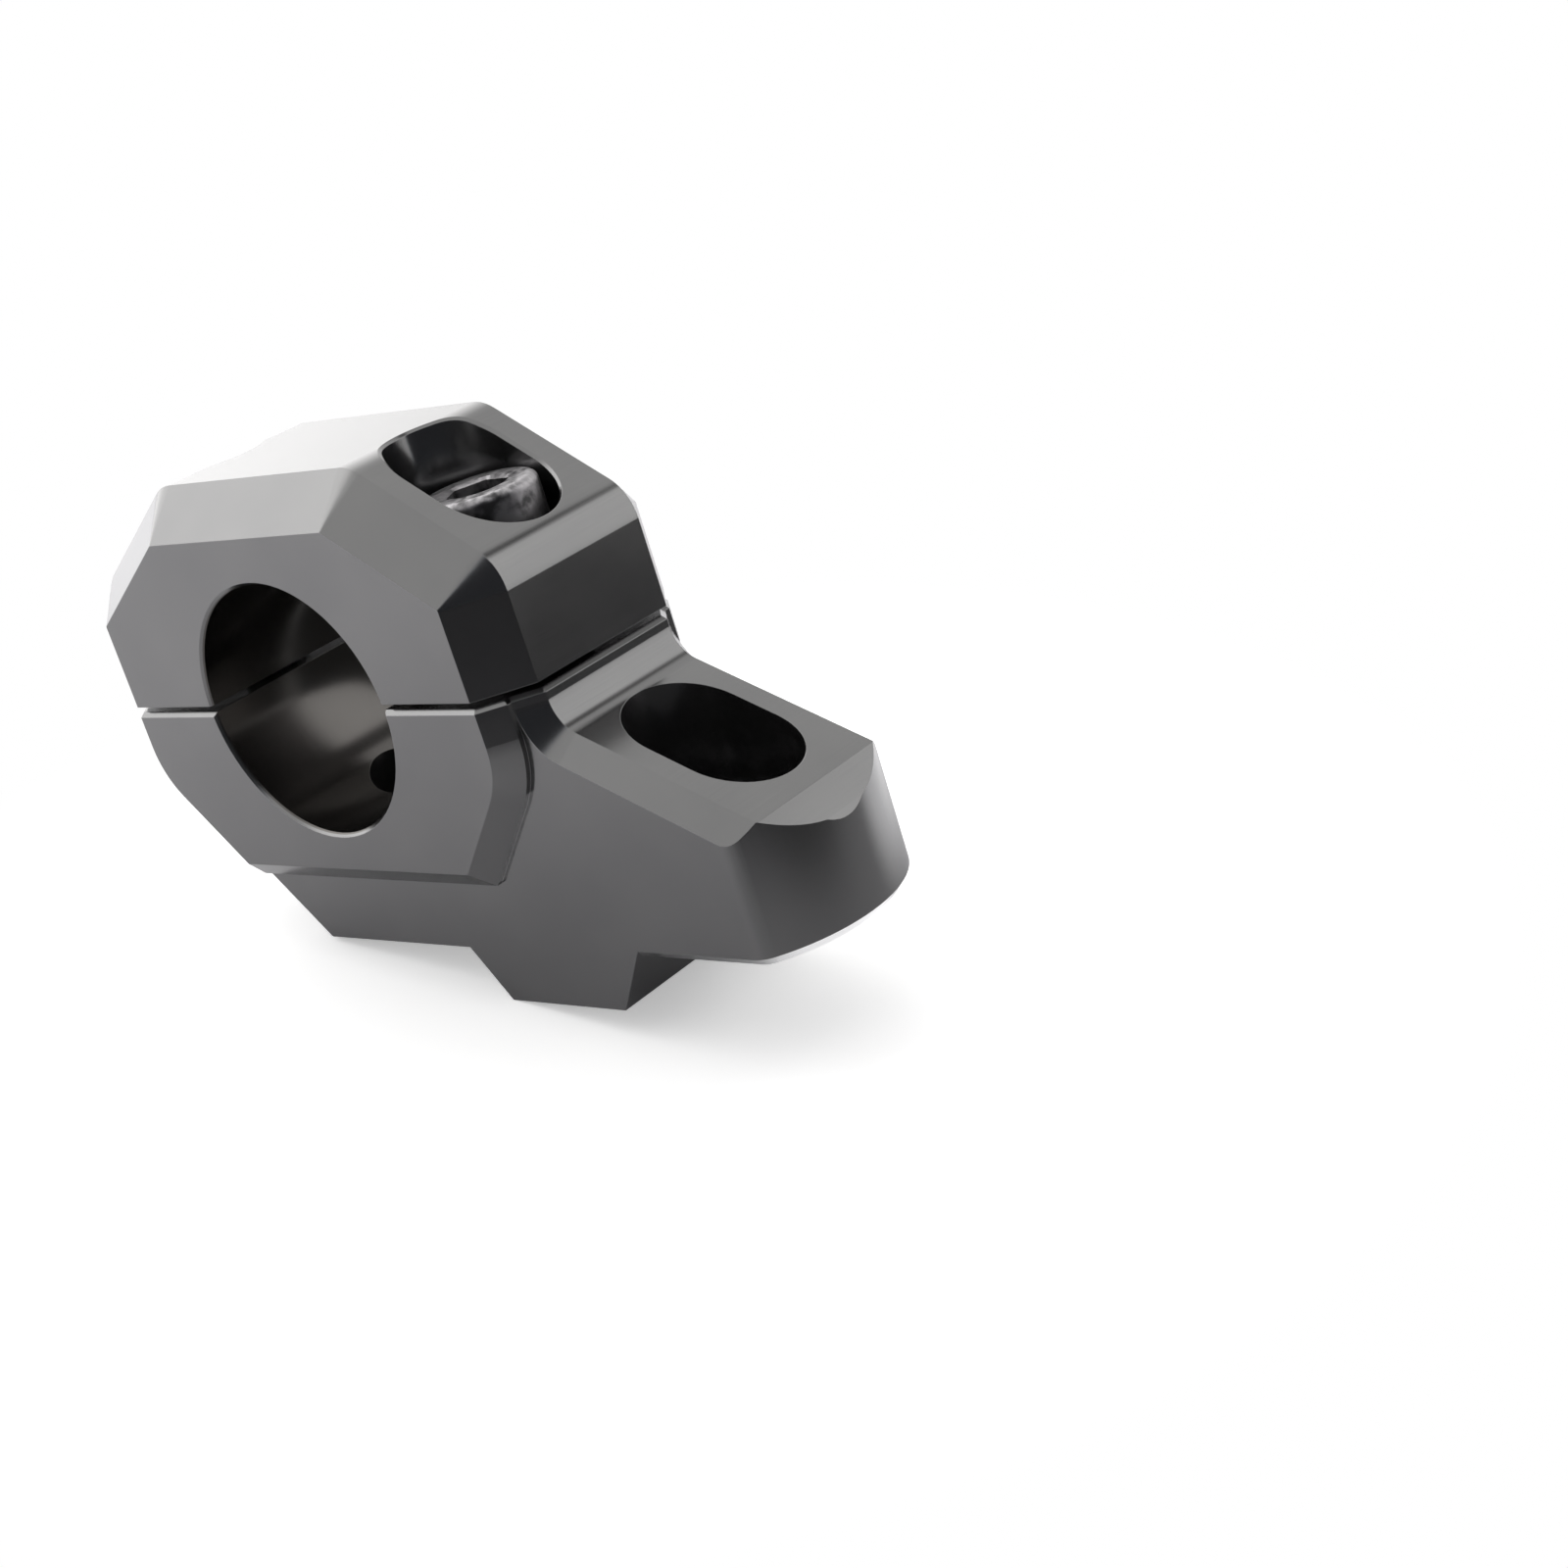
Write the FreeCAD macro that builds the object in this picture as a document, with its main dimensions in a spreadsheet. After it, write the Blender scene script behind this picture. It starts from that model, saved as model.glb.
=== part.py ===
import FreeCAD, Part
import math
import os
import Sketcher

# Motorcycle bar riser: a clamp cap on a one-piece base with an arm, held by two socket head screws.
# The origin is the centre of the bar bore at mid width. +X runs along the bar, +Y towards the
# end of the arm, +Z up, square to the split of the clamp. The base is split on the bar's centre,
# and the gap is taken out of the cap.

document = FreeCAD.newDocument("BarRiser")
sheet = document.addObject("Spreadsheet::Sheet", "Sizes")

SIZES = {
    # bar clamp, shared by the cap and the base
    "bar_diameter": 28.6,
    "clamp_width": 29.6,
    "clamp_depth": 66.4,
    "split_gap": 0.75,
    "split_edge_chamfer": 0.5,
    "end_chamfer": 5.0,
    "corner_radius": 0.3,
    "bore_chamfer": 0.4,
    # cap
    "cap_height": 24.5,
    "cap_flat_depth": 32.0,
    "cap_side_height": 13.3,
    # cap screws and the holes that take them
    "screw_spacing": 44.2,
    "screw_diameter": 8.0,
    "screw_length": 20.0,
    "screw_tip_chamfer": 1.0,
    "head_diameter": 12.8,
    "head_height": 8.0,
    "head_chamfer": 0.6,
    "socket_flats": 6.0,
    "socket_depth": 4.0,
    "head_clearance": 0.4,
    "shank_clearance": 1.0,
    "thread_clearance": 0.1,
    "seat_height": 10.3,
    "pocket_travel": 4.1,
    "pocket_chamfer": 0.3,
    "tapped_depth": 12.0,
    # body of the base
    "body_width": 23.6,
    "side_chamfer": 2.5,
    "ring_chamfer": 2.4,
    "ring_drop": 20.9,
    "belly_angle": 48.3,
    "belly_distance": 31.1,
    "belly_radius": 9.0,
    "base_drop": 28.9,
    "foot_edge_chamfer": 1.0,
    # arm and its rounded end
    "arm_drop": 3.9,
    "arm_angle": 24.3,
    "arm_root_radius": 4.0,
    "arm_overhang": 14.75,
    "arm_end_radius": 15.8,
    "arm_corner_radius": 3.0,
    "nose_setback": 2.95,
    "nose_angle": 45.0,
    "tip_setback": 0.25,
    "tip_angle": 73.0,
    "end_margin": 1.0,
    # nub under the base
    "nub_setback": 1.25,
    "nub_depth": 25.3,
    "nub_tip_depth": 17.1,
    "nub_height": 6.1,
    # holes that take the riser's own fixing screws
    "rear_hole_setback": 3.3,
    "rear_hole_diameter": 10.0,
    "slot_centre": 44.5,
    "slot_travel": 5.2,
    "slot_hole_width": 9.0,
    "slot_floor": 10.8,
}

for row, (name, value) in enumerate(SIZES.items(), start=1):
    sheet.set(f"A{row}", str(value))
    sheet.setAlias(f"A{row}", name)
document.recompute()


def size(expression):
    """Value in millimetres or degrees of an expression in the names of the sheet."""
    return float(sheet.evalExpression(expression))


def new_body(name):
    body = document.addObject("PartDesign::Body", name)
    body.Label = name
    return body


def new_sketch(body, name, plane, offset=None):
    """Sketch on one of the body's own origin planes, raised along its normal by a sized offset."""
    sketch = body.newObject("Sketcher::SketchObject", name)
    support = next(item for item in body.Origin.OriginFeatures if item.Role == plane)
    sketch.AttachmentSupport = [(support, "")]
    sketch.MapMode = "FlatFace"
    if offset:
        sketch.setExpression(".AttachmentOffset.Base.z", offset)
    return sketch


def hold(sketch, kind, members, name, expression):
    """Add one named dimension to the sketch and tie it to the sheet."""
    index = sketch.addConstraint(Sketcher.Constraint(kind, *members, size(expression)))
    sketch.renameConstraint(index, name)
    sketch.setExpression(f"Constraints.{name}", expression)


def hold_point(sketch, geometry, point, name, across, up):
    hold(sketch, "DistanceX", (-1, 1, geometry, point), f"{name}_across", across)
    hold(sketch, "DistanceY", (-1, 1, geometry, point), f"{name}_up", up)


def draw_outline(sketch, corners):
    """Closed outline of straight lines. Each corner is (name, across, up)."""
    points = [FreeCAD.Vector(size(across), size(up), 0) for _, across, up in corners]
    count = len(points)
    for index in range(count):
        sketch.addGeometry(Part.LineSegment(points[index], points[(index + 1) % count]))
    for index in range(count):
        sketch.addConstraint(Sketcher.Constraint("Coincident", index, 2, (index + 1) % count, 1))
    for index, (name, across, up) in enumerate(corners):
        hold_point(sketch, index, 1, name, across, up)


def draw_circle(sketch, name, across, up, diameter):
    centre = FreeCAD.Vector(size(across), size(up), 0)
    circle = Part.Circle(centre, FreeCAD.Vector(0, 0, 1), size(diameter) / 2)
    index = sketch.addGeometry(circle)
    hold(sketch, "Diameter", (index,), f"{name}_diameter", diameter)
    hold_point(sketch, index, 3, name, across, up)


def draw_obround(sketch, name, start, end, width):
    """Round-ended slot along the sketch's up axis, between the two centres of its rounds."""
    radius = size(width) / 2
    normal = FreeCAD.Vector(0, 0, 1)
    side = FreeCAD.Vector(radius, 0, 0)
    lower, upper = [FreeCAD.Vector(0, size(place), 0) for place in (start, end)]
    lower_round = Part.ArcOfCircle(Part.Circle(lower, normal, radius), math.pi, 2 * math.pi)
    upper_round = Part.ArcOfCircle(Part.Circle(upper, normal, radius), 0, math.pi)
    first = sketch.addGeometry(lower_round)
    sketch.addGeometry(Part.LineSegment(lower + side, upper + side))
    last = sketch.addGeometry(upper_round)
    sketch.addGeometry(Part.LineSegment(upper - side, lower - side))
    for index in range(4):
        following = (first + index + 1) % 4
        sketch.addConstraint(Sketcher.Constraint("Tangent", first + index, 2, following, 1))
    sketch.addConstraint(Sketcher.Constraint("PointOnObject", first, 3, -2))
    sketch.addConstraint(Sketcher.Constraint("PointOnObject", last, 3, -2))
    hold(sketch, "Radius", (first,), f"{name}_radius", f"({width}) / 2")
    hold(sketch, "DistanceY", (-1, 1, first, 3), f"{name}_start", start)
    hold(sketch, "DistanceY", (-1, 1, last, 3), f"{name}_end", end)


def add_pad(body, name, profile, length):
    pad = body.newObject("PartDesign::Pad", name)
    pad.Profile = profile
    pad.SideType = "Symmetric"
    pad.setExpression("Length", length)
    document.recompute()
    return pad


def add_cut(body, name, profile, reach="ThroughAll", side="One side", upwards=False, depth=None):
    """Pocket that has to take material away from the body."""
    before = body.Shape.Volume
    pocket = body.newObject("PartDesign::Pocket", name)
    pocket.Profile = profile
    pocket.SideType = side
    pocket.Type = reach
    pocket.Reversed = upwards
    if depth:
        pocket.setExpression("Length", depth)
    document.recompute()
    if not body.Shape.Volume < before:
        raise ValueError(f"{name} cuts nothing")
    return pocket


def edges_where(feature, test):
    """Names of the feature's edges whose middle point and box pass the test."""
    names = []
    for index, edge in enumerate(feature.Shape.Edges, start=1):
        middle = edge.valueAt((edge.FirstParameter + edge.LastParameter) / 2)
        if test(edge, middle):
            names.append(f"Edge{index}")
    return names


def near(first, second):
    return abs(first - second) < 0.01


def runs_along_x(edge):
    return edge.BoundBox.YLength < 0.01 and edge.BoundBox.ZLength < 0.01


def add_dressing(body, kind, name, base, edges, dimension, expression):
    """Fillet or chamfer on the named edges of a feature."""
    if not edges:
        raise ValueError(f"{name} found no edge")
    dressing = body.newObject(f"PartDesign::{kind}", name)
    dressing.Base = (base, edges)
    dressing.setExpression(dimension, expression)
    body.Tip = dressing
    document.recompute()
    return dressing


def mirror_cuts(body, name, plane, cuts):
    """Repeat cuts on the far side of one of the body's origin planes."""
    before = body.Shape.Volume
    mirrored = body.newObject("PartDesign::Mirrored", name)
    mirrored.Originals = cuts
    mirrored.MirrorPlane = (next(i for i in body.Origin.OriginFeatures if i.Role == plane), [""])
    body.Tip = mirrored
    document.recompute()
    if not body.Shape.Volume < before:
        raise ValueError(f"{name} cuts nothing")
    return mirrored


# Names that both halves of the clamp share

HALF_DEPTH = "Sizes.clamp_depth / 2"
SCREW_ACROSS = "Sizes.screw_spacing / 2"
BORE_RADIUS = "Sizes.bar_diameter / 2"
POCKET_WIDTH = "Sizes.head_diameter + Sizes.head_clearance"

# The arm ends a set distance beyond its slot, and the nub stops short of the slot

ARM_REACH = "(Sizes.slot_centre + Sizes.arm_overhang)"
NUB_FRONT = ("(Sizes.slot_centre - Sizes.slot_travel / 2 - Sizes.slot_hole_width / 2"
             " - Sizes.nub_setback)")
NUB_TAPER = "(Sizes.nub_depth - Sizes.nub_tip_depth) / 2"


def bore_end_arcs(edge, middle):
    """Edges of the bar bore in the two end faces of the clamp."""
    on_end = near(abs(middle.x), size("Sizes.clamp_width / 2")) and edge.BoundBox.XLength < 0.01
    return on_end and near((middle.y ** 2 + middle.z ** 2) ** 0.5, size(BORE_RADIUS))


def cut_bar_bore(body):
    sketch = new_sketch(body, f"{body.Label}_bore_circle", "YZ_Plane")
    draw_circle(sketch, "bore", "0", "0", "Sizes.bar_diameter")
    bore = add_cut(body, f"{body.Label}_bore", sketch, side="Symmetric")
    arcs = edges_where(bore, bore_end_arcs)
    return add_dressing(body, "Chamfer", f"{body.Label}_bore_edge", bore, arcs,
                        "Size", "Sizes.bore_chamfer")


def make_clamp_cap():
    body = new_body("clamp_cap")
    section = new_sketch(body, "cap_section", "YZ_Plane")
    draw_outline(section, [
        ("rear_split", f"-{HALF_DEPTH}", "Sizes.split_gap"),
        ("front_split", HALF_DEPTH, "Sizes.split_gap"),
        ("front_side", HALF_DEPTH, "Sizes.cap_side_height"),
        ("front_flat", "Sizes.cap_flat_depth / 2", "Sizes.cap_height"),
        ("rear_flat", "-Sizes.cap_flat_depth / 2", "Sizes.cap_height"),
        ("rear_side", f"-{HALF_DEPTH}", "Sizes.cap_side_height"),
    ])
    block = add_pad(body, "cap_block", section, "Sizes.clamp_width")

    # The shoulders are rounded by a little more than the chamfer, so the chamfer's inner edge
    # keeps a small round of its own in each corner of the end faces.
    def is_shoulder(edge, middle):
        return runs_along_x(edge) and middle.z > size("Sizes.split_gap") + 1

    shoulders = add_dressing(body, "Fillet", "cap_shoulders", block, edges_where(block, is_shoulder),
                             "Radius", "Sizes.end_chamfer + Sizes.corner_radius")

    def is_end_outline(edge, middle):
        on_end = near(abs(middle.x), size("Sizes.clamp_width / 2")) and edge.BoundBox.XLength < 0.01
        return on_end and middle.z > size("Sizes.split_gap") + 0.01

    add_dressing(body, "Chamfer", "cap_end_chamfers", shoulders, edges_where(shoulders, is_end_outline),
                 "Size", "Sizes.end_chamfer")
    cut_bar_bore(body)

    pocket_sketch = new_sketch(body, "screw_pocket_outline", "XY_Plane", "Sizes.seat_height")
    draw_obround(pocket_sketch, "pocket", f"{SCREW_ACROSS} - Sizes.pocket_travel / 2",
                 f"{SCREW_ACROSS} + Sizes.pocket_travel / 2", POCKET_WIDTH)
    pocket = add_cut(body, "screw_pocket", pocket_sketch, upwards=True)
    hole_sketch = new_sketch(body, "shank_hole_circle", "XY_Plane")
    draw_circle(hole_sketch, "hole", "0", SCREW_ACROSS, "Sizes.screw_diameter + Sizes.shank_clearance")
    hole = add_cut(body, "shank_hole", hole_sketch, side="Symmetric")
    both = mirror_cuts(body, "other_pocket", "XZ_Plane", [pocket, hole])

    def is_pocket_mouth(edge, middle):
        above_seat = middle.z > size("Sizes.seat_height") + 0.01
        upright = edge.BoundBox.XLength < 0.01 and edge.BoundBox.YLength < 0.01
        across = edge.BoundBox.XMax < size(POCKET_WIDTH) / 2 + 0.01
        inside = abs(edge.BoundBox.XMin) < size(POCKET_WIDTH) / 2 + 0.01
        return above_seat and across and inside and not upright and not runs_along_x(edge)

    add_dressing(body, "Chamfer", "pocket_mouths", both, edges_where(both, is_pocket_mouth),
                 "Size", "Sizes.pocket_chamfer")
    return body


def belly_corner_up(inset):
    """Height of the corner between the clamp's side and its lower diagonal, for one outline."""
    side = f"({HALF_DEPTH} - {inset})"
    return (f"-(Sizes.belly_distance - {inset} - {side} * sin(Sizes.belly_angle))"
            f" / cos(Sizes.belly_angle)")


def belly_across(inset, drop):
    """Distance of the lower diagonal from the bar's axis plane at a given drop."""
    return (f"(Sizes.belly_distance - {inset} - {drop} * cos(Sizes.belly_angle))"
            f" / sin(Sizes.belly_angle)")


def belly_radius(inset):
    """Round of that corner, larger on the outlines that lie further out."""
    return f"Sizes.belly_radius + Sizes.end_chamfer - {inset}"


def make_clamp_ring():
    """Lower half of the bar clamp, wider than the rest of the base."""
    ring = new_body("clamp_ring")
    side = f"{HALF_DEPTH} - Sizes.side_chamfer"
    corner_up = belly_corner_up("Sizes.side_chamfer")
    bottom_across = belly_across("Sizes.side_chamfer", "Sizes.ring_drop")
    section = new_sketch(ring, "ring_section", "YZ_Plane")
    draw_outline(section, [
        ("rear_split", f"-({side})", "0"),
        ("rear_side", f"-({side})", corner_up),
        ("rear_bottom", f"-({bottom_across})", "-Sizes.ring_drop"),
        ("front_bottom", bottom_across, "-Sizes.ring_drop"),
        ("front_side", side, corner_up),
        ("front_split", side, "0"),
    ])
    block = add_pad(ring, "ring_block", section, "Sizes.clamp_width")

    def is_side_corner(edge, middle):
        return runs_along_x(edge) and near(middle.z, size(corner_up))

    corners = add_dressing(ring, "Fillet", "ring_corners", block, edges_where(block, is_side_corner),
                           "Radius", belly_radius("Sizes.side_chamfer"))

    def is_end_outline(edge, middle):
        on_end = near(abs(middle.x), size("Sizes.clamp_width / 2")) and edge.BoundBox.XLength < 0.01
        return on_end and middle.z < -0.01

    add_dressing(ring, "Chamfer", "ring_end_chamfers", corners, edges_where(corners, is_end_outline),
                 "Size", "Sizes.ring_chamfer")
    return ring


def make_riser_base(ring):
    body = new_body("riser_base")

    # Side view of the whole base, from the clamp's split round to the nose of the arm
    nose_across = f"{ARM_REACH} - Sizes.nose_setback"
    tip_across = f"{ARM_REACH} - Sizes.tip_setback"
    end_across = f"{ARM_REACH} + Sizes.end_margin"
    nose_up = f"-(Sizes.arm_drop + ({nose_across} - {HALF_DEPTH}) * tan(Sizes.arm_angle))"
    tip_up = f"{nose_up} - (Sizes.nose_setback - Sizes.tip_setback) * tan(Sizes.nose_angle)"
    end_up = f"{tip_up} - (Sizes.tip_setback + Sizes.end_margin) * tan(Sizes.tip_angle)"
    nub_up = "-(Sizes.base_drop + Sizes.nub_height)"
    section = new_sketch(body, "base_section", "YZ_Plane")
    draw_outline(section, [
        ("rear_split", f"-{HALF_DEPTH}", "0"),
        ("rear_side", f"-{HALF_DEPTH}", belly_corner_up("0")),
        ("rear_bottom", f"-({belly_across('0', 'Sizes.base_drop')})", "-Sizes.base_drop"),
        ("nub_rear", f"{NUB_FRONT} - Sizes.nub_depth", "-Sizes.base_drop"),
        ("nub_rear_tip", f"{NUB_FRONT} - Sizes.nub_depth + {NUB_TAPER}", nub_up),
        ("nub_front_tip", f"{NUB_FRONT} - {NUB_TAPER}", nub_up),
        ("nub_front", NUB_FRONT, "-Sizes.base_drop"),
        ("end_bottom", end_across, "-Sizes.base_drop"),
        ("end_top", end_across, end_up),
        ("tip", tip_across, tip_up),
        ("nose", nose_across, nose_up),
        ("arm_root", HALF_DEPTH, "-Sizes.arm_drop"),
        ("front_split", HALF_DEPTH, "0"),
    ])
    block = add_pad(body, "base_block", section, "Sizes.body_width")

    def is_arm_root(edge, middle):
        at_root = near(middle.y, size(HALF_DEPTH)) and near(middle.z, -size("Sizes.arm_drop"))
        return runs_along_x(edge) and at_root

    root = add_dressing(body, "Fillet", "arm_root_round", block, edges_where(block, is_arm_root),
                        "Radius", "Sizes.arm_root_radius")

    def is_rear_corner(edge, middle):
        on_rear = near(middle.y, -size(HALF_DEPTH))
        return runs_along_x(edge) and on_rear and middle.z < -1

    rear = add_dressing(body, "Fillet", "rear_corner_round", root, edges_where(root, is_rear_corner),
                        "Radius", belly_radius("0"))

    def is_side_outline(edge, middle):
        on_side = near(abs(middle.x), size("Sizes.body_width / 2")) and edge.BoundBox.XLength < 0.01
        above_foot = middle.z > -size("Sizes.base_drop") + 0.01
        below_split = middle.z < -0.01
        return on_side and above_foot and below_split and middle.y < size(end_across) - 0.01

    add_dressing(body, "Chamfer", "side_edges", rear, edges_where(rear, is_side_outline),
                 "Size", "Sizes.side_chamfer")

    # The end of the arm is round when seen from above
    end_sketch = new_sketch(body, "arm_end_outline", "XY_Plane")
    draw_arm_end(end_sketch)
    arm_end = add_cut(body, "arm_end", end_sketch, side="Symmetric")

    def is_end_corner(edge, middle):
        upright = edge.BoundBox.XLength < 0.01 and edge.BoundBox.YLength < 0.01
        on_side = near(abs(middle.x), size("Sizes.body_width / 2"))
        return upright and on_side and middle.y > size(NUB_FRONT)

    arm_corners = add_dressing(body, "Fillet", "arm_end_corners", arm_end,
                               edges_where(arm_end, is_end_corner), "Radius", "Sizes.arm_corner_radius")

    def is_foot_edge(edge, middle):
        at_bottom = near(middle.z, -size("Sizes.base_drop")) and edge.BoundBox.ZLength < 0.01
        ahead_of_nub = middle.y > size(NUB_FRONT) + 0.01
        return at_bottom and ahead_of_nub

    add_dressing(body, "Chamfer", "foot_edges", arm_corners, edges_where(arm_corners, is_foot_edge),
                 "Size", "Sizes.foot_edge_chamfer")

    # The ring of the clamp is part of the same block, only wider
    joined = body.newObject("PartDesign::Boolean", "clamp_ring_joined")
    joined.setObjects([ring])
    joined.Type = "Fuse"
    body.Tip = joined
    document.recompute()

    def is_split_edge(edge, middle):
        return near(middle.z, 0) and edge.BoundBox.ZLength < 0.01

    add_dressing(body, "Chamfer", "split_edges", joined, edges_where(joined, is_split_edge),
                 "Size", "Sizes.split_edge_chamfer")
    cut_bar_bore(body)

    tapped_sketch = new_sketch(body, "tapped_hole_circle", "XY_Plane")
    draw_circle(tapped_sketch, "tapped", "0", SCREW_ACROSS,
                "Sizes.screw_diameter + Sizes.thread_clearance")
    tapped = add_cut(body, "tapped_hole", tapped_sketch, reach="Length", depth="Sizes.tapped_depth")
    mirror_cuts(body, "other_tapped_hole", "XZ_Plane", [tapped])

    rear_sketch = new_sketch(body, "rear_hole_circle", "XY_Plane")
    draw_circle(rear_sketch, "rear_hole", "0", "-Sizes.rear_hole_setback", "Sizes.rear_hole_diameter")
    add_cut(body, "rear_hole", rear_sketch)

    slot_near = "Sizes.slot_centre - Sizes.slot_travel / 2"
    slot_far = "Sizes.slot_centre + Sizes.slot_travel / 2"
    seat_sketch = new_sketch(body, "slot_seat_outline", "XY_Plane", "Sizes.slot_floor - Sizes.base_drop")
    draw_obround(seat_sketch, "slot_seat", slot_near, slot_far, POCKET_WIDTH)
    add_cut(body, "slot_seat", seat_sketch, upwards=True)
    slot_sketch = new_sketch(body, "slot_outline", "XY_Plane")
    draw_obround(slot_sketch, "slot", slot_near, slot_far, "Sizes.slot_hole_width")
    add_cut(body, "slot", slot_sketch)
    return body


def draw_arm_end(sketch):
    """Region outside the round end of the arm, as far as it has to be cut away."""
    radius = size("Sizes.arm_end_radius")
    centre_up = f"{ARM_REACH} - Sizes.arm_end_radius"
    centre = FreeCAD.Vector(0, size(centre_up), 0)
    reach = "Sizes.arm_end_radius + 2 * Sizes.end_margin"
    outer = size(reach)
    round_end = Part.Circle(centre, FreeCAD.Vector(0, 0, 1), radius)
    sketch.addGeometry(Part.ArcOfCircle(round_end, 0, math.pi))
    corners = [(-radius, 0), (-outer, 0), (-outer, outer), (outer, outer), (outer, 0), (radius, 0)]
    points = [centre + FreeCAD.Vector(across, up, 0) for across, up in corners]
    for start, end in zip(points, points[1:]):
        sketch.addGeometry(Part.LineSegment(start, end))
    for index in range(6):
        sketch.addConstraint(Sketcher.Constraint("Coincident", index, 2, (index + 1) % 6, 1))
    for index, direction in ((1, "Horizontal"), (2, "Vertical"), (3, "Horizontal"), (4, "Vertical"),
                             (5, "Horizontal")):
        sketch.addConstraint(Sketcher.Constraint(direction, index))
    sketch.addConstraint(Sketcher.Constraint("PointOnObject", 0, 3, -2))
    sketch.addConstraint(Sketcher.Constraint("Horizontal", 0, 1, 0, 3))
    hold(sketch, "DistanceY", (-1, 1, 0, 3), "end_centre", centre_up)
    hold(sketch, "Radius", (0,), "end_radius", "Sizes.arm_end_radius")
    hold(sketch, "DistanceX", (0, 3, 3, 2), "cut_right", reach)
    hold(sketch, "DistanceX", (3, 1, 0, 3), "cut_left", reach)
    hold(sketch, "DistanceY", (0, 3, 3, 2), "cut_front", reach)


def make_screw(name, side):
    """Socket head screw, turned about its own axis and then placed in one of the two pockets."""
    body = new_body(name)
    radius = "Sizes.screw_diameter / 2"
    head = "Sizes.head_diameter / 2"
    section = new_sketch(body, f"{name}_section", "XZ_Plane")
    draw_outline(section, [
        ("head_top", "0", "Sizes.head_height"),
        ("head_rim", f"{head} - Sizes.head_chamfer", "Sizes.head_height"),
        ("head_side", head, "Sizes.head_height - Sizes.head_chamfer"),
        ("head_seat", head, "0"),
        ("shank_top", radius, "0"),
        ("shank_side", radius, "Sizes.screw_tip_chamfer - Sizes.screw_length"),
        ("shank_end", f"{radius} - Sizes.screw_tip_chamfer", "-Sizes.screw_length"),
        ("axis_end", "0", "-Sizes.screw_length"),
    ])
    turned = body.newObject("PartDesign::Revolution", f"{name}_turned")
    turned.Profile = section
    turned.ReferenceAxis = (section, ["V_Axis"])
    turned.Angle = 360.0
    document.recompute()

    socket_sketch = new_sketch(body, f"{name}_socket_outline", "XY_Plane", "Sizes.head_height")
    corner = "Sizes.socket_flats / 2 / cos(30)"
    flat = "Sizes.socket_flats / 2"
    draw_outline(socket_sketch, [
        ("front", "0", f"-{corner}"),
        ("front_right", flat, f"-{corner} / 2"),
        ("rear_right", flat, f"{corner} / 2"),
        ("rear", "0", corner),
        ("rear_left", f"-{flat}", f"{corner} / 2"),
        ("front_left", f"-{flat}", f"-{corner} / 2"),
    ])
    add_cut(body, f"{name}_socket", socket_sketch, reach="Length", depth="Sizes.socket_depth")
    body.setExpression(".Placement.Base.y", f"{side}{SCREW_ACROSS}")
    body.setExpression(".Placement.Base.z", "Sizes.seat_height")
    document.recompute()
    return body


base = make_riser_base(make_clamp_ring())
pieces = [base, make_clamp_cap(), make_screw("front_cap_screw", ""), make_screw("rear_cap_screw", "-")]

document.recompute()
for item in document.Objects:
    if "Invalid" in item.State or "Error" in item.State:
        raise ValueError(f"{item.Name} failed: {item.State}")
for piece in pieces:
    if piece.Shape.isNull() or not piece.Shape.isValid():
        raise ValueError(f"{piece.Label} has no valid shape")

os.makedirs("parts", exist_ok=True)
for piece in pieces:
    piece.Shape.exportStep(os.path.join("parts", f"{piece.Label}.step"))
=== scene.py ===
import math

import bmesh
import bpy
from mathutils import Matrix, Vector


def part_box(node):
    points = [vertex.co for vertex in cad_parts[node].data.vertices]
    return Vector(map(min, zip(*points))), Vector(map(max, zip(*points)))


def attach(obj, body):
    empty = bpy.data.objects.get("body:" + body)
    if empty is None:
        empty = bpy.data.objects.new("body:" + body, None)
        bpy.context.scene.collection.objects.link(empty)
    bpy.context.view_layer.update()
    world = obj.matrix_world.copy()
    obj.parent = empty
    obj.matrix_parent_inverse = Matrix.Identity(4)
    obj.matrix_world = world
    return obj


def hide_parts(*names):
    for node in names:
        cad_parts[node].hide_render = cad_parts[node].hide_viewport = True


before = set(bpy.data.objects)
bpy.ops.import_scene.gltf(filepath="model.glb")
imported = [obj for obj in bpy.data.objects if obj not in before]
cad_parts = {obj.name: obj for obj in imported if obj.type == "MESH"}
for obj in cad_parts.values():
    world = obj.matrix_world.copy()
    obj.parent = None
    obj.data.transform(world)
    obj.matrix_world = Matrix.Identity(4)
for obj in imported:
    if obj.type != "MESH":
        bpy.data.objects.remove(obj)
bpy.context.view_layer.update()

MM = 0.001


# Riser base and clamp cap. Both are milled from bar and anodised black: a thin, hard, dyed skin
# over bright aluminium, satin to the touch. The flats keep a faint trace of the cutter, the
# bore keeps the rings of the boring tool, and every edge is broken by a tenth of a millimetre.

ANODISED_BLACK = (0.160, 0.161, 0.165, 1)
ANODISED_GREY = (0.236, 0.235, 0.232, 1)
# The bore is coloured darker than the outer skin, as painted shade in the recess
BORE_PAINTED_SHADE = (0.110, 0.105, 0.100, 1)
SKIN_ROUGHNESS = (0.12, 0.22)
SKIN_SHINE = 0.955
BORE_SKIN_RADIUS = 14.45 * MM
END_FACING = 0.9
EDGE_BREAK = 0.10 * MM
EDGE_SAMPLES = 6

# Repeats per metre along the bar, along the arm and upwards, and the number of finer layers
CUTTER_LINES = ((90, 9000, 9000), 3)
BORING_RINGS = ((9000, 60, 60), 2)
DYE_CLOUDS = ((70, 70, 70), 3)
BLASTED_GRAIN = ((14000, 14000, 14000), 2)
LINE_RELIEF = (0.10, 0.010 * MM)
GRAIN_RELIEF = (0.12, 0.006 * MM)
FLAT = 0.5

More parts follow.
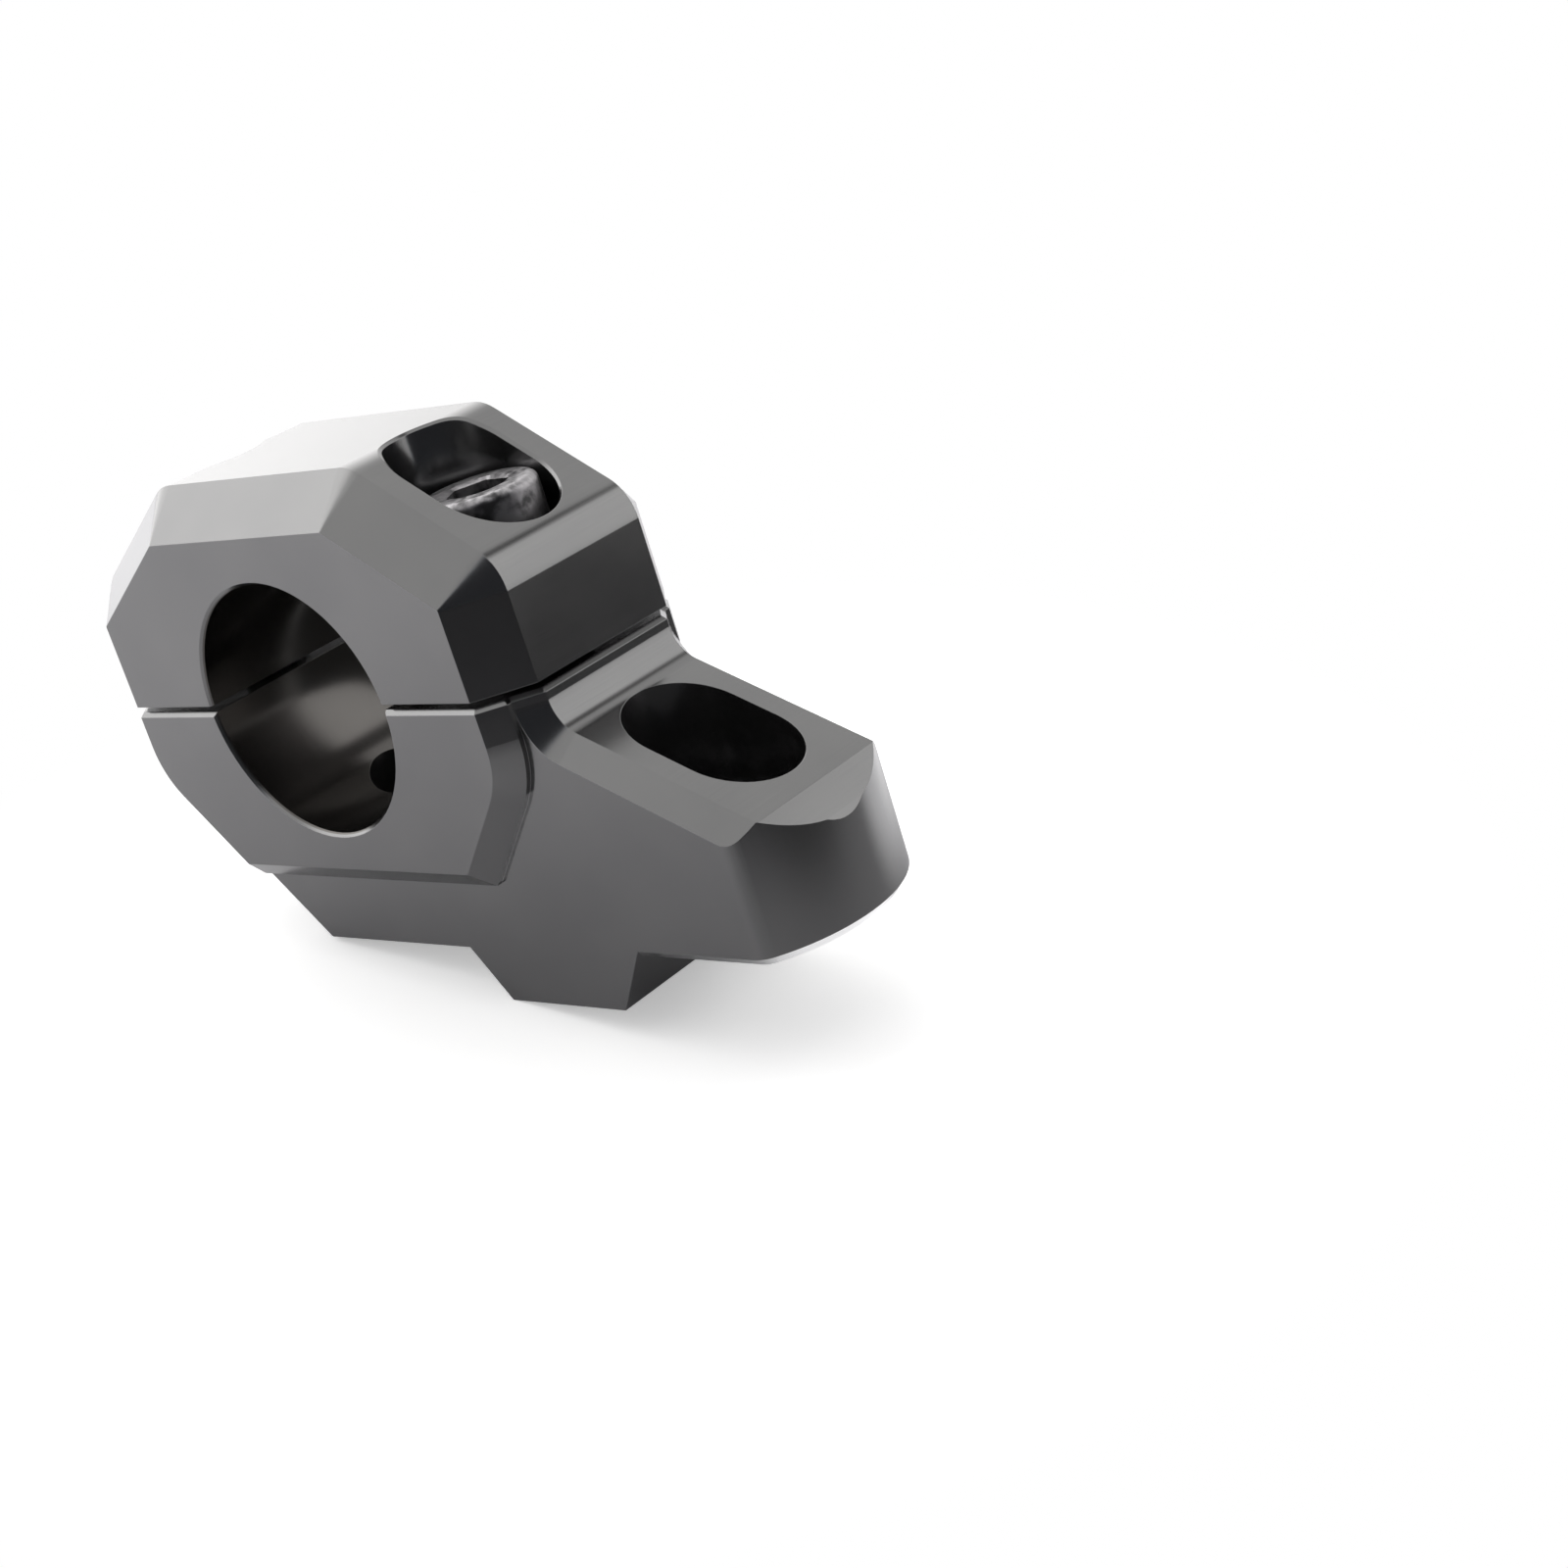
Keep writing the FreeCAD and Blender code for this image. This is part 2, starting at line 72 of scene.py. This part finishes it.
# How much of the unevenness comes from the tool's marks. The rest is the dye's own clouds.
MARKS_IN_COLOUR = 0.4
MARKS_IN_FINISH = 0.5

# The foot's lower edge is painted light grey where it slants by 45 degrees, as a painted highlight
EDGE_HIGHLIGHT_GREY = (0.80, 0.80, 0.80, 1)
EDGE_HIGHLIGHT_FROM = 20 * MM
EDGE_HIGHLIGHT_SLANT = -0.71
EDGE_HIGHLIGHT_SPREAD = 0.15

# Where a Mix node of each kind takes its two values, and gives the result
MIX_SOCKETS = {"FLOAT": (2, 3, 0), "RGBA": (6, 7, 2)}


def add_node(owner, kind, **settings):
    node = owner.node_tree.nodes.new(kind)
    for name, value in settings.items():
        setattr(node, name, value)
    return node


def feed(owner, socket, value):
    """Link the socket to another node's output, or set it to a plain value."""
    if isinstance(value, bpy.types.NodeSocket):
        owner.node_tree.links.new(value, socket)
    else:
        socket.default_value = value


def calculate(owner, operation, *values):
    """Math node over plain numbers and other nodes' outputs."""
    node = add_node(owner, "ShaderNodeMath", operation=operation)
    for socket, value in zip(node.inputs, values):
        feed(owner, socket, value)
    return node.outputs[0]


def blend(owner, kind, share, first, second):
    """Number or colour that goes from first to second as share goes from nought to one."""
    node = add_node(owner, "ShaderNodeMix", data_type=kind)
    first_place, second_place, result_place = MIX_SOCKETS[kind]
    feed(owner, node.inputs[0], share)
    feed(owner, node.inputs[first_place], first)
    feed(owner, node.inputs[second_place], second)
    return node.outputs[result_place]


def parts_of(owner, vector):
    """The vector's own x, y and z."""
    node = add_node(owner, "ShaderNodeSeparateXYZ")
    feed(owner, node.inputs[0], vector)
    return node.outputs


def noise_along(owner, position, repeats, detail):
    """Noise whose grain is drawn out along the axes with fewer repeats."""
    spread = add_node(owner, "ShaderNodeVectorMath", operation="MULTIPLY")
    feed(owner, spread.inputs[0], position)
    feed(owner, spread.inputs[1], repeats)
    noise = add_node(owner, "ShaderNodeTexNoise")
    feed(owner, noise.inputs["Vector"], spread.outputs[0])
    feed(owner, noise.inputs["Scale"], 1)
    feed(owner, noise.inputs["Detail"], detail)
    return noise.outputs["Fac"]


def add_relief(owner, height, relief, normal=None):
    """Bump of a given strength and depth, laid over another normal."""
    bump = add_node(owner, "ShaderNodeBump")
    bump.inputs["Strength"].default_value, bump.inputs["Distance"].default_value = relief
    feed(owner, bump.inputs["Height"], height)
    if normal:
        feed(owner, bump.inputs["Normal"], normal)
    return bump.outputs[0]


def make_anodised_aluminium():
    material = bpy.data.materials.new("anodised_aluminium")
    material.use_nodes = True
    skin = material.node_tree.nodes["Principled BSDF"]
    skin.inputs["Metallic"].default_value = SKIN_SHINE

    where = add_node(material, "ShaderNodeTexCoord").outputs["Object"]
    _, y, z = parts_of(material, where)
    facing_x, _, facing_z = parts_of(
        material, add_node(material, "ShaderNodeNewGeometry").outputs["True Normal"])

    # Cutter lines run along the bar on the sides, and round it in the bore
    squares = calculate(material, "ADD", calculate(material, "MULTIPLY", y, y),
                        calculate(material, "MULTIPLY", z, z))
    in_bore = calculate(material, "LESS_THAN", calculate(material, "SQRT", squares), BORE_SKIN_RADIUS)
    is_end = calculate(material, "GREATER_THAN", calculate(material, "ABSOLUTE", facing_x), END_FACING)
    cutter = blend(material, "FLOAT", is_end, noise_along(material, where, *CUTTER_LINES), FLAT)
    marks = blend(material, "FLOAT", in_bore, cutter, noise_along(material, where, *BORING_RINGS))

    # The dyed skin is never quite even
    cloud = noise_along(material, where, *DYE_CLOUDS)
    shade = blend(material, "FLOAT", MARKS_IN_COLOUR, cloud, marks)
    dye_and_bore_shade = blend(material, "RGBA", shade, ANODISED_BLACK, ANODISED_GREY)
    # Painted shade: the bore gets a darker colour than the outer skin
    dye_and_bore_shade = blend(material, "RGBA", in_bore, dye_and_bore_shade, BORE_PAINTED_SHADE)
    finish = blend(material, "FLOAT", MARKS_IN_FINISH, cloud, marks)
    feed(material, skin.inputs["Roughness"], blend(material, "FLOAT", finish, *SKIN_ROUGHNESS))

    # Painted highlight on the foot's slanted lower edge
    slanted = calculate(material, "COMPARE", facing_z, EDGE_HIGHLIGHT_SLANT, EDGE_HIGHLIGHT_SPREAD)
    on_foot = calculate(material, "GREATER_THAN", y, EDGE_HIGHLIGHT_FROM)
    edge_highlight = calculate(material, "MULTIPLY", slanted, on_foot)
    feed(material, skin.inputs["Base Color"], blend(material, "RGBA", edge_highlight, dye_and_bore_shade, EDGE_HIGHLIGHT_GREY))

    edge = add_node(material, "ShaderNodeBevel", samples=EDGE_SAMPLES)
    edge.inputs["Radius"].default_value = EDGE_BREAK
    lines = blend(material, "FLOAT", in_bore, marks, FLAT)
    grain = blend(material, "FLOAT", in_bore, noise_along(material, where, *BLASTED_GRAIN), FLAT)
    milled = add_relief(material, lines, LINE_RELIEF, edge.outputs[0])
    feed(material, skin.inputs["Normal"], add_relief(material, grain, GRAIN_RELIEF, milled))
    return material


anodised_aluminium = make_anodised_aluminium()
for node_name in ("riser_base", "clamp_cap"):
    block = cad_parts[node_name]
    block.data.materials.clear()
    block.data.materials.append(anodised_aluminium)


# Cap screws: two socket head screws that pull the cap down on the bar. They are cold headed and
# thread rolled from alloy steel, plain round the head, and polished to a dark shine.

HEAD_RADIUS = 6.4 * MM
HEAD_HEIGHT = 8.0 * MM
HEAD_ROUND = 1.0 * MM
HEAD_STEPS = 96
ROUND_STEPS = 8
SEAT_CHAMFER = 0.3 * MM
SOCKET_FLATS = 6.0 * MM
SOCKET_DEPTH = 4.0 * MM
SOCKET_MOUTH_RADIUS = 3.7 * MM
SOCKET_MOUTH_DEPTH = 0.3 * MM

THREAD_RADIUS = 4.0 * MM
THREAD_ROOT_RADIUS = 3.27 * MM
THREAD_PITCH = 1.25 * MM
THREAD_LENGTH = 20.0 * MM
THREAD_STEPS = 60
CREST_RELIEF = 0.08 * MM
# Half the crest's width, as a share of the pitch
CREST_SHARE = 0.08
TIP_CHAMFER = 0.2 * MM
SAME_PLACE = 0.001 * MM
SHARP_ANGLE = math.radians(30)

STEEL_DARK = (0.07, 0.068, 0.07, 1)
STEEL_GREY = (0.30, 0.29, 0.30, 1)
# Colour of the painted highlight on the screws' scuffed tops
STEEL_TOP_HIGHLIGHT = (0.42, 0.41, 0.42, 1)
STEEL_SHINE = 0.80
STEEL_ROUGHNESS = (0.26, 0.50)
STAINS = ((420, 420, 420), 4)
SCUFFS = ((1100, 1100, 700), 2)
STAIN_RELIEF = (0.25, 0.03 * MM)
STAINED = (0.40, 0.62)
TOP_HIGHLIGHT_FACING = (0.15, 0.55)
TOP_HIGHLIGHT_SCUFFS = (0.30, 0.70)


def join_rings(mesh, lower, upper):
    """Quads between two closed rings with the same count of vertices."""
    count = len(lower)
    for index in range(count):
        after = (index + 1) % count
        mesh.faces.new((lower[index], lower[after], upper[after], upper[index]))


def add_screw_head(mesh):
    """Plain head with a hexagon socket, its seat at nought on the screw's own axis."""
    angles = [2 * math.pi * index / HEAD_STEPS for index in range(HEAD_STEPS)]

    def ring(radius, height):
        return [mesh.verts.new((radius * math.cos(a), radius * math.sin(a), height)) for a in angles]

    def hexagon(height):
        vertices = []
        for angle in angles:
            off_flat = (angle + math.pi / 6) % (math.pi / 3) - math.pi / 6
            reach = SOCKET_FLATS / 2 / math.cos(off_flat)
            vertices.append(mesh.verts.new((reach * math.cos(angle), reach * math.sin(angle), height)))
        return vertices

    rings = [ring(HEAD_RADIUS - SEAT_CHAMFER, 0), ring(HEAD_RADIUS, SEAT_CHAMFER)]
    for index in range(ROUND_STEPS + 1):
        angle = math.pi / 2 * index / ROUND_STEPS
        rings.append(ring(HEAD_RADIUS - HEAD_ROUND * (1 - math.cos(angle)),
                          HEAD_HEIGHT - HEAD_ROUND * (1 - math.sin(angle))))
    rings.append(ring(SOCKET_MOUTH_RADIUS, HEAD_HEIGHT))
    rings.append(hexagon(HEAD_HEIGHT - SOCKET_MOUTH_DEPTH))
    rings.append(hexagon(HEAD_HEIGHT - SOCKET_DEPTH))
    for lower, upper in zip(rings, rings[1:]):
        join_rings(mesh, lower, upper)
    mesh.faces.new(tuple(reversed(rings[0])))
    mesh.faces.new(tuple(rings[-1]))


def add_screw_thread(mesh):
    """Rolled thread from under the head down to the chamfered tip, as one right-handed helix."""
    flank_radius = THREAD_RADIUS - CREST_RELIEF
    profile = ((0.0, THREAD_ROOT_RADIUS), (0.5 - CREST_SHARE, flank_radius),
               (0.5, THREAD_RADIUS), (0.5 + CREST_SHARE, flank_radius))
    turns = round(THREAD_LENGTH / THREAD_PITCH) + 2
    rows = []
    for turn in range(turns):
        for place, radius in profile:
            row = []
            for index in range(THREAD_STEPS):
                drop = (turn - 1 + place + index / THREAD_STEPS) * THREAD_PITCH
                height = -min(max(drop, 0.0), THREAD_LENGTH)
                tip = THREAD_ROOT_RADIUS - TIP_CHAMFER + (height + THREAD_LENGTH)
                angle = -2 * math.pi * index / THREAD_STEPS
                reach = min(radius, tip)
                row.append(mesh.verts.new((reach * math.cos(angle), reach * math.sin(angle), height)))
            rows.append(row)
    per_turn = len(profile)
    for number in range(len(rows) - 1):
        for index in range(THREAD_STEPS):
            if index < THREAD_STEPS - 1:
                upper = (rows[number][index], rows[number][index + 1])
                lower = (rows[number + 1][index], rows[number + 1][index + 1])
            elif number + 1 + per_turn < len(rows):
                upper = (rows[number][index], rows[number + per_turn][0])
                lower = (rows[number + 1][index], rows[number + 1 + per_turn][0])
            else:
                continue
            mesh.faces.new((upper[0], lower[0], lower[1], upper[1]))


def smooth_share(owner, value, band, most=1.0, curve="SMOOTHSTEP"):
    """How far the value has gone across a band, from nought to the most."""
    node = add_node(owner, "ShaderNodeMapRange", interpolation_type=curve)
    feed(owner, node.inputs["Value"], value)
    for name, number in zip(("From Min", "From Max", "To Min", "To Max"), (*band, 0.0, most)):
        node.inputs[name].default_value = number
    return node.outputs[0]


def make_screw_steel():
    """Dark steel, stained in blotches on its sides, with a painted highlight on its scuffed patches
    that face up.
    """
    material = bpy.data.materials.new("screw_steel")
    material.use_nodes = True
    steel = material.node_tree.nodes["Principled BSDF"]
    steel.inputs["Metallic"].default_value = STEEL_SHINE
    where = add_node(material, "ShaderNodeTexCoord").outputs["Object"]
    stain = noise_along(material, where, *STAINS)
    scuff = noise_along(material, where, *SCUFFS)
    feed(material, steel.inputs["Roughness"], blend(material, "FLOAT", scuff, *STEEL_ROUGHNESS))

    upwards = parts_of(material, add_node(material, "ShaderNodeNewGeometry").outputs["Normal"])[2]
    # Painted highlight: scuffed patches that face up get a lighter colour
    painted_top_highlight = calculate(material, "MULTIPLY", smooth_share(material, upwards, TOP_HIGHLIGHT_FACING),
                        smooth_share(material, scuff, TOP_HIGHLIGHT_SCUFFS))
    stained = blend(material, "RGBA", smooth_share(material, stain, STAINED), STEEL_DARK, STEEL_GREY)
    feed(material, steel.inputs["Base Color"], blend(material, "RGBA", painted_top_highlight, stained, STEEL_TOP_HIGHLIGHT))
    feed(material, steel.inputs["Normal"], add_relief(material, stain, STAIN_RELIEF))
    return material


screw_steel = make_screw_steel()
for node_name in ("front_cap_screw", "rear_cap_screw"):
    low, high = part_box(node_name)
    seat = Vector(((low[0] + high[0]) / 2, (low[1] + high[1]) / 2, high[2] - HEAD_HEIGHT))
    mesh = bmesh.new()
    add_screw_head(mesh)
    add_screw_thread(mesh)
    bmesh.ops.remove_doubles(mesh, verts=mesh.verts, dist=SAME_PLACE)
    bmesh.ops.dissolve_degenerate(mesh, edges=mesh.edges, dist=SAME_PLACE)
    bmesh.ops.holes_fill(mesh, edges=mesh.edges)
    bmesh.ops.recalc_face_normals(mesh, faces=mesh.faces)
    bmesh.ops.translate(mesh, vec=seat, verts=mesh.verts)
    data = bpy.data.meshes.new(f"{node_name}_detailed")
    mesh.to_mesh(data)
    mesh.free()
    data.materials.append(screw_steel)
    data.shade_smooth()
    data.set_sharp_from_angle(angle=SHARP_ANGLE)
    screw = bpy.data.objects.new(f"{node_name}_detailed", data)
    bpy.context.scene.collection.objects.link(screw)
    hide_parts(node_name)
    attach(screw, "root")


# Sweep: the matt white floor that the riser is set down on. It rests on the rear edge of its
# foot and on the nub, so the floor is tipped to touch both. Past the front of the riser the
# light falls off, which the front faces mirror.

REAR_CONTACT = (-15.9 * MM, -28.9 * MM)
NUB_CONTACT = (14.95 * MM, -35.0 * MM)
FLOOR_REACH = 1.5
FLOOR_GAP = 0.02 * MM

PAPER_WHITE = (0.97, 0.97, 0.97, 1)
PAPER_TINT = (0.98, 0.975, 1.0, 1)
SHADE_COLOUR = (0.06, 0.06, 0.065, 1)

# Share of the way from the first to the second place along the arm, and how light the paper is there
FALL_BAND = (-100 * MM, 300 * MM)
FALL_STEPS = ((0.05, 1.00), (0.20, 0.84), (0.30, 0.73), (0.40, 0.50),
              (0.64, 0.38), (0.76, 0.09), (1.0, 0.055))
# A patch of painted shade on the paper: its centre, and the distances where it starts and is full
SHADE_CENTRE = Vector((220, 200, -80)) * MM
SHADE_BAND = (190 * MM, 70 * MM)
# Painted light: the paper behind the riser glows, coming up between these two places along the arm
REAR_GLOW = 0.60
REAR_BAND = (-100 * MM, -260 * MM)

# Patches of stray light on the paper: centre, distances where it starts and is full, and strength
SPILLS = (
    (Vector((-100, 52, -42)) * MM, (64 * MM, 28 * MM), 0.45),
    (Vector((-8, 56, -43)) * MM, (24 * MM, 9 * MM), 0.45),
)
SHADOW_CENTRE = Vector((0, 15, -38)) * MM
SHADOW_BAND = (50 * MM, 100 * MM)
SHADOW_FILL = 0.40


def make_paper():
    material = bpy.data.materials.new("floor_paper")
    material.use_nodes = True
    material.node_tree.nodes.clear()
    where = add_node(material, "ShaderNodeTexCoord").outputs["Object"]
    along = parts_of(material, where)[1]

    def near(centre, band):
        node = add_node(material, "ShaderNodeVectorMath", operation="DISTANCE")
        feed(material, node.inputs[0], where)
        feed(material, node.inputs[1], centre)
        return smooth_share(material, node.outputs["Value"], band)

    def matt(colour):
        node = add_node(material, "ShaderNodeBsdfDiffuse")
        feed(material, node.inputs["Color"], colour)
        return node.outputs[0]

    def glow(strength):
        node = add_node(material, "ShaderNodeEmission")
        feed(material, node.inputs["Strength"], strength)
        return node.outputs[0]

    def together(first, second):
        node = add_node(material, "ShaderNodeAddShader")
        feed(material, node.inputs[0], first)
        feed(material, node.inputs[1], second)
        return node.outputs[0]

    def either(share, first, second):
        node = add_node(material, "ShaderNodeMixShader")
        feed(material, node.inputs[0], share)
        feed(material, node.inputs[1], first)
        feed(material, node.inputs[2], second)
        return node.outputs[0]

    # What the riser mirrors: paper that gets darker towards the front, as painted fall-off of light,
    # with a patch of painted shade and patches of stray light
    fall = add_node(material, "ShaderNodeValToRGB")
    feed(material, fall.inputs[0], smooth_share(material, along, FALL_BAND, curve="LINEAR"))
    steps = fall.color_ramp.elements
    for position, level in FALL_STEPS[1:-1]:
        steps.new(position)
    for step, (position, level) in zip(steps, FALL_STEPS):
        step.position = position
        step.color = [level * tint for tint in PAPER_TINT[:3]] + [1]
    colour = blend(material, "RGBA", near(SHADE_CENTRE, SHADE_BAND), fall.outputs[0], SHADE_COLOUR)
    light = calculate(material, "MULTIPLY", smooth_share(material, along, REAR_BAND), REAR_GLOW)
    for centre, band, level in SPILLS:
        spill = near(centre, band)
        colour = blend(material, "RGBA", spill, colour, PAPER_TINT)
        light = calculate(material, "ADD", light, calculate(material, "MULTIPLY", spill, level))
    mirrored = together(matt(colour), glow(light))

    # What the camera sees from above: white paper with soft shadows near the riser
    shadowed = together(matt(PAPER_WHITE), glow(SHADOW_FILL))
    seen = either(near(SHADOW_CENTRE, SHADOW_BAND), shadowed, glow(1.0))
    both = either(add_node(material, "ShaderNodeLightPath").outputs["Is Camera Ray"], mirrored, seen)
    below = add_node(material, "ShaderNodeNewGeometry").outputs["Backfacing"]
    clear = add_node(material, "ShaderNodeBsdfTransparent").outputs[0]
    output = add_node(material, "ShaderNodeOutputMaterial")
    feed(material, output.inputs["Surface"], either(below, both, clear))
    return material


def add_stage(name, corners, material):
    """One flat face that only lights or carries the riser."""
    data = bpy.data.meshes.new(name)
    data.from_pydata(corners, [], [tuple(range(len(corners)))])
    data.materials.append(material)
    piece = bpy.data.objects.new(name, data)
    bpy.context.scene.collection.objects.link(piece)
    return piece


floor_slope = (NUB_CONTACT[1] - REAR_CONTACT[1]) / (NUB_CONTACT[0] - REAR_CONTACT[0])
floor_corners = []
for side, end in ((-1, -1), (1, -1), (1, 1), (-1, 1)):
    depth = end * FLOOR_REACH
    rise = REAR_CONTACT[1] + floor_slope * (depth - REAR_CONTACT[0])
    floor_corners.append((side * FLOOR_REACH, depth, rise - FLOOR_GAP))
add_stage("floor", floor_corners, make_paper())


# Bore card: a half round of dark card that shades the lower half of the bore's far mouth. Only
# what the bore mirrors is changed by it.

CARD_PLACE = -15.0 * MM
CARD_RADIUS = 14.2 * MM
CARD_TOP = 1.0 * MM
CARD_STEPS = 24
CARD_GREY = (0.25, 0.25, 0.25, 1)

card_dark = bpy.data.materials.new("card_dark")
card_dark.use_nodes = True
card_dark.node_tree.nodes["Principled BSDF"].inputs["Base Color"].default_value = CARD_GREY

card_start = math.asin(CARD_TOP / CARD_RADIUS)
card_turn = math.pi + 2 * card_start
card_corners = []
for index in range(CARD_STEPS + 1):
    angle = card_start - card_turn * index / CARD_STEPS
    card_corners.append((CARD_PLACE, CARD_RADIUS * math.cos(angle), CARD_RADIUS * math.sin(angle)))
card = add_stage("bore_card", card_corners, card_dark)
for rays in ("camera", "diffuse", "shadow", "transmission"):
    setattr(card, f"visible_{rays}", False)


# Room: a light tent of white cloth with one large lamp behind it on the left, a small one on the
# far right, and its dark open front, where the camera stands. The camera itself sees only white.

CLOTH_LEVEL = 1.0
CLOTH_TINT = (1.0, 0.992, 0.985, 1)
OPENING_LEVEL = 0.06
OPENING_TINT = (0.93, 0.99, 1.12, 1)

# Each patch's direction, the band over which it comes up, and the light it adds or takes away: the
# large lamp, the small one, and a dark seam in the cloth
PATCHES = (
    (Vector((0.0, -0.848, 0.530)), (0.60, 0.90), 1.4),
    (Vector((-0.740, 0.621, 0.259)), (0.80, 0.87), 0.55),
    (Vector((-0.600, 0.240, 0.763)), (0.989, 0.997), -0.85),
)

# The tent is open where it faces each of these directions
OPENING_SIDES = (
    (Vector((-0.17, 0.985, 0.0)), (-0.04, 0.12)),
    (Vector((0.883, 0.469, 0.0)), (-0.10, 0.0)),
    (Vector((0.0, 0.0, -1.0)), (-0.80, -0.72)),
)


def make_room():
    room = bpy.data.worlds.new("room")
    room.use_nodes = True
    room.node_tree.nodes.clear()
    direction = add_node(room, "ShaderNodeTexCoord").outputs["Generated"]

    def toward(facing, band, most=1.0):
        node = add_node(room, "ShaderNodeVectorMath", operation="DOT_PRODUCT")
        feed(room, node.inputs[0], direction)
        feed(room, node.inputs[1], facing.normalized())
        return smooth_share(room, node.outputs["Value"], band, most)

    def light(colour, strength):
        node = add_node(room, "ShaderNodeBackground")
        feed(room, node.inputs["Color"], colour)
        feed(room, node.inputs["Strength"], strength)
        return node.outputs[0]

    level = CLOTH_LEVEL
    for facing, band, extra in PATCHES:
        level = calculate(room, "ADD", level, toward(facing, band, extra))
    opening = 1.0
    for facing, band in OPENING_SIDES:
        opening = calculate(room, "MULTIPLY", opening, toward(facing, band))
    tent = light(blend(room, "RGBA", opening, CLOTH_TINT, OPENING_TINT),
                 blend(room, "FLOAT", opening, level, OPENING_LEVEL))

    both = add_node(room, "ShaderNodeMixShader")
    feed(room, both.inputs[0], add_node(room, "ShaderNodeLightPath").outputs["Is Camera Ray"])
    feed(room, both.inputs[1], tent)
    feed(room, both.inputs[2], light((1, 1, 1, 1), 1.0))
    output = add_node(room, "ShaderNodeOutputWorld")
    feed(room, output.inputs["Surface"], both.outputs[0])
    return room


bpy.context.scene.world = make_room()
bpy.context.scene.view_settings.view_transform = "Standard"


# Camera: a short telephoto from the front left, a little above, close enough that the far end
# of the bore looks smaller than the near one.

CAMERA_PLACE = Vector((179.6, 235.5, 72.7)) * MM
CAMERA_RIGHT = Vector((-0.6154, 0.7362, -0.2818))
CAMERA_UP = Vector((-0.4278, -0.0117, 0.9038))
LENS_LENGTH = 63.64
SENSOR_WIDTH = 36
NEAREST = 10 * MM

lens = bpy.data.cameras.new("camera")
lens.lens = LENS_LENGTH
lens.sensor_width = SENSOR_WIDTH
lens.clip_start = NEAREST
camera = bpy.data.objects.new("camera", lens)
camera_back = CAMERA_RIGHT.cross(CAMERA_UP).normalized()
camera_up = camera_back.cross(CAMERA_RIGHT).normalized()
turned = Matrix((CAMERA_RIGHT.normalized(), camera_up, camera_back)).transposed().to_4x4()
camera.matrix_world = Matrix.Translation(CAMERA_PLACE) @ turned
bpy.context.scene.collection.objects.link(camera)
bpy.context.scene.camera = camera

bpy.context.view_layer.update()
